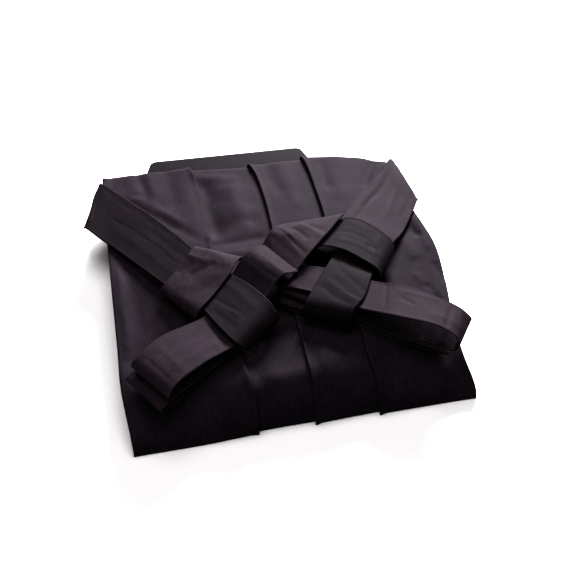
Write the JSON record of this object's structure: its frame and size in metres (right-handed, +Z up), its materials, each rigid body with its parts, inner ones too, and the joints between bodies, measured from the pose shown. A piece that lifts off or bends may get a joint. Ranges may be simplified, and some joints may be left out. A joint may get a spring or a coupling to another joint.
{
  "type": "folded hakama trousers",
  "caption": "Pleated hakama trousers folded flat, with the waist ties folded into hanks, crossed over the front and wrapped in the formal way.",
  "frame": {"origin": "middle of the underside of the whole bundle's box, on the surface it lies on", "axes": "+Y towards the wearer's waist and the back board, +X to the right as seen from the front edge, +Z up out of the surface"},
  "size_m": [0.3542, 0.404, 0.0806],
  "materials": {
    "front_cloth": "fine twill, dark plum black, faint sheen",
    "hidden_cloth": "fine twill, dark plum black, in shade between the layers",
    "tie_cloth": "fine twill sewn flat in four layers, pressed",
    "board_cloth": "fine twill over a stiff board"
  },
  "bodies": {
    "root": {"folded_layers": "hidden_cloth", "back_board": "board_cloth", "front_panel_1": "front_cloth", "front_panel_2": "front_cloth", "front_panel_3": "front_cloth", "front_panel_4": "front_cloth", "left_tie_from_waist": "tie_cloth", "right_tie_over_left": "tie_cloth", "left_tie_over_long_tie": "tie_cloth", "right_tie_end": "tie_cloth", "left_tie_up_to_loop": "tie_cloth", "left_tie_loop": "tie_cloth", "right_tie_from_waist": "tie_cloth", "right_tie_over_long_tie": "tie_cloth", "left_long_tie_upper_loop": "tie_cloth", "left_long_tie_lower_loop": "tie_cloth", "right_long_tie_upper_loop": "tie_cloth", "right_long_tie_lower_loop": "tie_cloth", "left_long_tie_far_end": "tie_cloth", "right_long_tie_far_end": "tie_cloth"}
  },
  "joints": []
}
